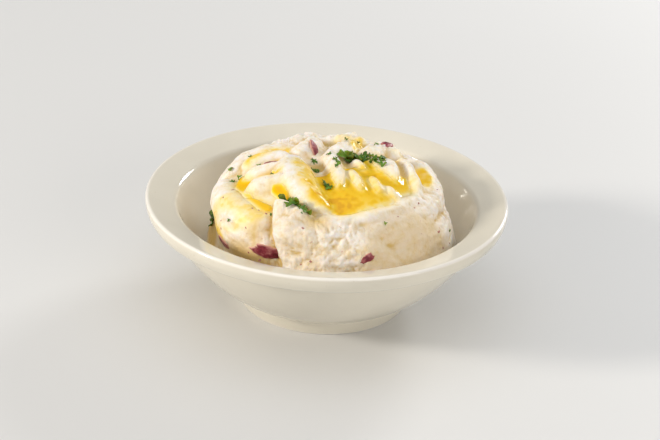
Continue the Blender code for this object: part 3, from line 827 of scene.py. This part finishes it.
def tangent_frame(x, y):
    """A point of the solid model's surface with its directions to the right, ahead and outwards."""
    eps = 1.5
    px, py = (np.array([p] * 4, float) + step for p, step in ((x, (0, eps, 0, -eps)), (y, (0, 0, eps, 0))))
    at, ahead, aside, back = solid_surface(px, py)
    normal = np.cross(ahead - back, aside - at)
    normal /= np.linalg.norm(normal)
    across = np.cross(normal, ahead - back)
    across /= np.linalg.norm(across)
    return at, np.cross(across, normal), across, normal


def make_skins(finish):
    """The pieces of skin that the solid model names, with ragged outlines."""
    for name, direction, distance, length, width, turn, tilt, sink in SKINS:
        angle = math.radians(direction)
        at, along, across, normal = tangent_frame(distance * math.cos(angle), distance * math.sin(angle))
        c, s = math.cos(math.radians(turn)), math.sin(math.radians(turn))
        along, across = c * along + s * across, c * across - s * along
        c, s = math.cos(math.radians(tilt)), math.sin(math.radians(tilt))
        across, normal = c * across + s * normal, c * normal - s * across
        points, torn = chip_points(at - sink * normal, along, across, normal, length, width, SKIN_THICKNESS,
                                   SKIN_CURL, (direction, distance), SKIN_RINGS, SKIN_SEGMENTS)
        piece(name + "_piece", points, chip_faces(SKIN_RINGS, SKIN_SEGMENTS), finish, "red_potato_skin", [name],
              torn=torn)


def leaf_points(at, along, across, normal, size, phase):
    """A curly leaflet: a lobed, ruffled sheet with an upper and a lower face."""
    angle = np.arange(LEAF_SEGMENTS) * 2 * math.pi / LEAF_SEGMENTS
    outline = (0.62 + 0.38 * np.cos(1.5 * angle) ** 2) * (1 + 0.16 * np.cos(9 * angle + phase))
    outline = outline * (1 + 0.35 * np.cos(angle))
    points = []
    for side in (0.5, -0.5):
        for share in np.linspace(0, 1, LEAF_RINGS):
            r = share * size / 2 * outline
            u, v = r * np.cos(angle), r * np.sin(angle) * 0.85
            w = size * (0.16 * share ** 2 * np.cos(2 * angle + phase) + 0.10 * share ** 1.5 * np.sin(6 * angle + phase))
            w = w + side * LEAF_THICKNESS * (1 - 0.6 * share)
            points.append(at + u[:, None] * along + v[:, None] * across + w[:, None] * normal)
    return np.vstack(points)


def strewn_leaves(random):
    """Places on the map and sizes of all leaves: the pinches', then loose ones over the whole top."""
    places, sizes = [], []
    for pinch in PINCHES:
        angle = math.radians(pinch.turn)
        along = np.array([math.cos(angle), math.sin(angle)])
        ahead = random.uniform(-pinch.length, pinch.length, (pinch.count, 1))
        aside = random.normal(0, pinch.spread, (pinch.count, 1))
        places.append(pinch.middle + ahead * along + aside * np.array([-along[1], along[0]]))
        sizes.append(pinch.size * random.uniform(0.55, 1.0, pinch.count))
    angle = random.uniform(0, 2 * math.pi, LOOSE_LEAVES)
    distance = MOUND_REACH * random.uniform(0.3, 0.8, LOOSE_LEAVES)
    places.append(np.stack([distance * np.cos(angle), distance * np.sin(angle)], 1))
    sizes.append(random.uniform(1.4, 2.2, LOOSE_LEAVES))
    return np.vstack(places), np.concatenate(sizes)


def laid_frame(mash, place, random, unrest):
    """Where a bit lands on the surface: its point, a direction along it and its uneasy normal."""
    at, normal = (value[0] for value in mash.at(*place))
    normal = normal + random.normal(0, unrest, 3)
    normal /= np.linalg.norm(normal)
    along = np.cross(normal, random.normal(0, 1, 3))
    return at, along / np.linalg.norm(along), normal


def make_parsley(mash, finish):
    """All leaflets, each laid on the surface with its own turn and tilt."""
    random = np.random.default_rng(7)
    points, tint = [], []
    places, sizes = strewn_leaves(random)
    shape = chip_faces(LEAF_RINGS, LEAF_SEGMENTS)
    for place, size in zip(places, sizes):
        at, along, normal = laid_frame(mash, place, random, 0.30)
        lift = random.uniform(0.2, 0.7)
        points.append(leaf_points(at + lift * normal, along, np.cross(normal, along), normal, size,
                                  random.uniform(0, 2 * math.pi)))
        tint.append(np.full(len(points[-1]), random.uniform(0, 1) ** 1.5))
    faces = np.vstack([shape + k * len(points[0]) for k in range(len(points))])
    return piece("parsley_chopped", np.vstack(points), faces, finish, "parsley", tint=np.concatenate(tint))


def make_flecks(mash, finish):
    """All small bits of skin, pressed into the surface of the front and sides."""
    random = np.random.default_rng(11)
    points, torn = [], []
    shape = chip_faces(FLECK_RINGS, FLECK_SEGMENTS)
    for _ in range(FLECK_COUNT):
        angle = math.radians(random.uniform(-170, 10))
        distance = MOUND_REACH * random.uniform(0.5, 0.85)
        size = FLECK_SIZES[0] + (FLECK_SIZES[1] - FLECK_SIZES[0]) * random.uniform(0, 1) ** 2
        place = distance * math.cos(angle), distance * math.sin(angle)
        at, along, normal = laid_frame(mash, place, random, 0.25)
        width = size * random.uniform(0.45, 0.8)
        made, pale = chip_points(at - 0.15 * normal, along, np.cross(normal, along), normal, size, width, 0.5,
                                 3.0, random.uniform(0, 2 * math.pi, 2), FLECK_RINGS, FLECK_SEGMENTS)
        points.append(made)
        torn.append(np.clip(pale * 0.5 + random.uniform(0.1, 0.7), 0, 1))
    faces = np.vstack([shape + k * len(points[0]) for k in range(len(points))])
    return piece("skin_flecks", np.vstack(points), faces, finish, "red_potato_skin", torn=np.concatenate(torn))


def make_floor():
    """A plain pale table, far larger than the view."""
    made, tree, shader, where = material("table_laminate", roughness=0.55)
    shader.inputs["Base Color"].default_value = colour("dddddc")
    mesh = bpy.data.meshes.new("table")
    reach = 4.0
    mesh.from_pydata([(-reach, -reach, 0), (reach, -reach, 0), (reach, reach, 0), (-reach, reach, 0)], [], [(0, 1, 2, 3)])
    mesh.materials.append(made)
    floor = bpy.data.objects.new("table", mesh)
    bpy.context.scene.collection.objects.link(floor)


def softbox(name, place, size, power, tint, aim=(0.0, 0.0, 0.04)):
    """A square lamp that faces the food."""
    lamp = bpy.data.lights.new(name, "AREA")
    lamp.size, lamp.energy, lamp.color = size, power, colour(tint)[:3]
    made = bpy.data.objects.new(name, lamp)
    made.location = place
    made.rotation_euler = (Vector(aim) - Vector(place)).to_track_quat("-Z", "Y").to_euler()
    bpy.context.scene.collection.objects.link(made)


def make_lights():
    """A low key from the left, a lamp behind to the right for the glaze's highlights, and a surround."""
    softbox("key", (-1.82, -0.48, 0.74), 0.34, 29.0, "fff8ee")
    softbox("back", (0.62, 0.90, 0.55), 0.30, 5.0, "ffffff")
    softbox("fill", (0.78, -0.98, 0.42), 0.80, 6.0, "fffaf4")
    world = bpy.data.worlds.new("surround")
    world.use_nodes = True
    tree = world.node_tree
    way = node(tree, "ShaderNodeTexCoord").outputs["Generated"]
    height = node(tree, "ShaderNodeSeparateXYZ", {0: way}).outputs["Z"]
    glow = ramp(tree, height, (0.0, grey(0.28)), (0.35, grey(0.30)), (0.70, grey(1.0)),
                (1.0, grey(2.6)))
    tree.links.new(glow, tree.nodes["Background"].inputs["Color"])
    tree.nodes["Background"].inputs["Strength"].default_value = 0.47
    bpy.context.scene.world = world
    bpy.context.scene.view_settings.view_transform = "Standard"


def make_camera():
    """A long lens in front of the bowl, a little above it, held slightly off level."""
    lens = bpy.data.cameras.new("camera")
    lens.lens, lens.sensor_width = 100.0, 36.0
    made = bpy.data.objects.new("camera", lens)
    aim = (Vector(CAD_BOX[0]) + Vector(CAD_BOX[1])) / 2 + CAMERA_AIM
    turned = Matrix.Rotation(math.pi / 2 - CAMERA_ELEVATION, 4, "X") @ Matrix.Rotation(CAMERA_ROLL, 4, "Z")
    made.matrix_world = Matrix.Translation(aim) @ turned @ Matrix.Translation((0, 0, CAMERA_DISTANCE))
    bpy.context.scene.collection.objects.link(made)
    bpy.context.scene.camera = made


make_camera()
make_lights()
make_floor()
mash = Mash()
make_bowl(stoneware_glaze())
make_mash(mash, mashed_potato())
make_butter(mash, melted_butter())
skin = potato_skin()
make_skins(skin)
make_flecks(mash, skin)
make_parsley(mash, parsley_leaf())
